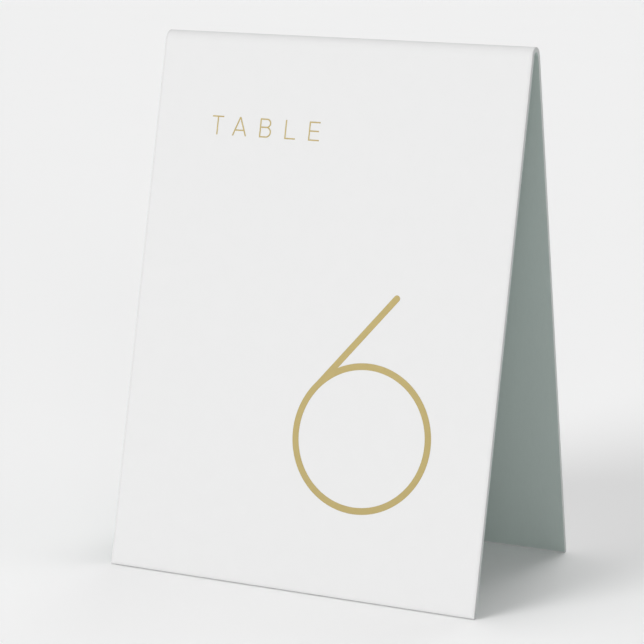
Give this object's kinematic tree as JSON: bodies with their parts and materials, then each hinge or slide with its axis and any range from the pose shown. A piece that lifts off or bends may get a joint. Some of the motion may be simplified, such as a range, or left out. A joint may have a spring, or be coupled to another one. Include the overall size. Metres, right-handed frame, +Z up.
{
  "type": "table number tent",
  "caption": "Free-standing folded board tent: two leaning leaves joined by a rounded crest, lined inside, with a word and numeral in foil on each outer face.",
  "frame": {"origin": "middle of the footprint, on the table, halfway between the two feet", "axes": "+X along the crest, to the right of a reader of the front; -Y towards that reader; +Z up"},
  "size_m": [0.127, 0.0816, 0.1702],
  "materials": {
    "white_board": "matte",
    "sage_paper": "matte",
    "gold_foil": "satin"
  },
  "bodies": {
    "front_side": {"front_leaf": "white_board", "fold_spine": "white_board", "front_liner": "sage_paper", "fold_liner": "sage_paper", "front_numeral_six": "gold_foil", "front_letter_t": "gold_foil", "front_letter_a": "gold_foil", "front_letter_b": "gold_foil", "front_letter_l": "gold_foil", "front_letter_e": "gold_foil"},
    "rear_side": {"rear_leaf": "white_board", "rear_liner": "sage_paper", "rear_numeral_six": "gold_foil", "rear_letter_t": "gold_foil", "rear_letter_a": "gold_foil", "rear_letter_b": "gold_foil", "rear_letter_l": "gold_foil", "rear_letter_e": "gold_foil"}
  },
  "joints": [
    {"name": "crest_fold", "type": "hinge", "parent": "front_side", "child": "rear_side", "pos_m": [0, 0, 0.16694], "axis": [1, 0, 0], "range_deg": [-25.3, 154.6], "stiffness_Nm_per_rad": 0.25, "deforming": ["fold_spine", "fold_liner"]}
  ]
}
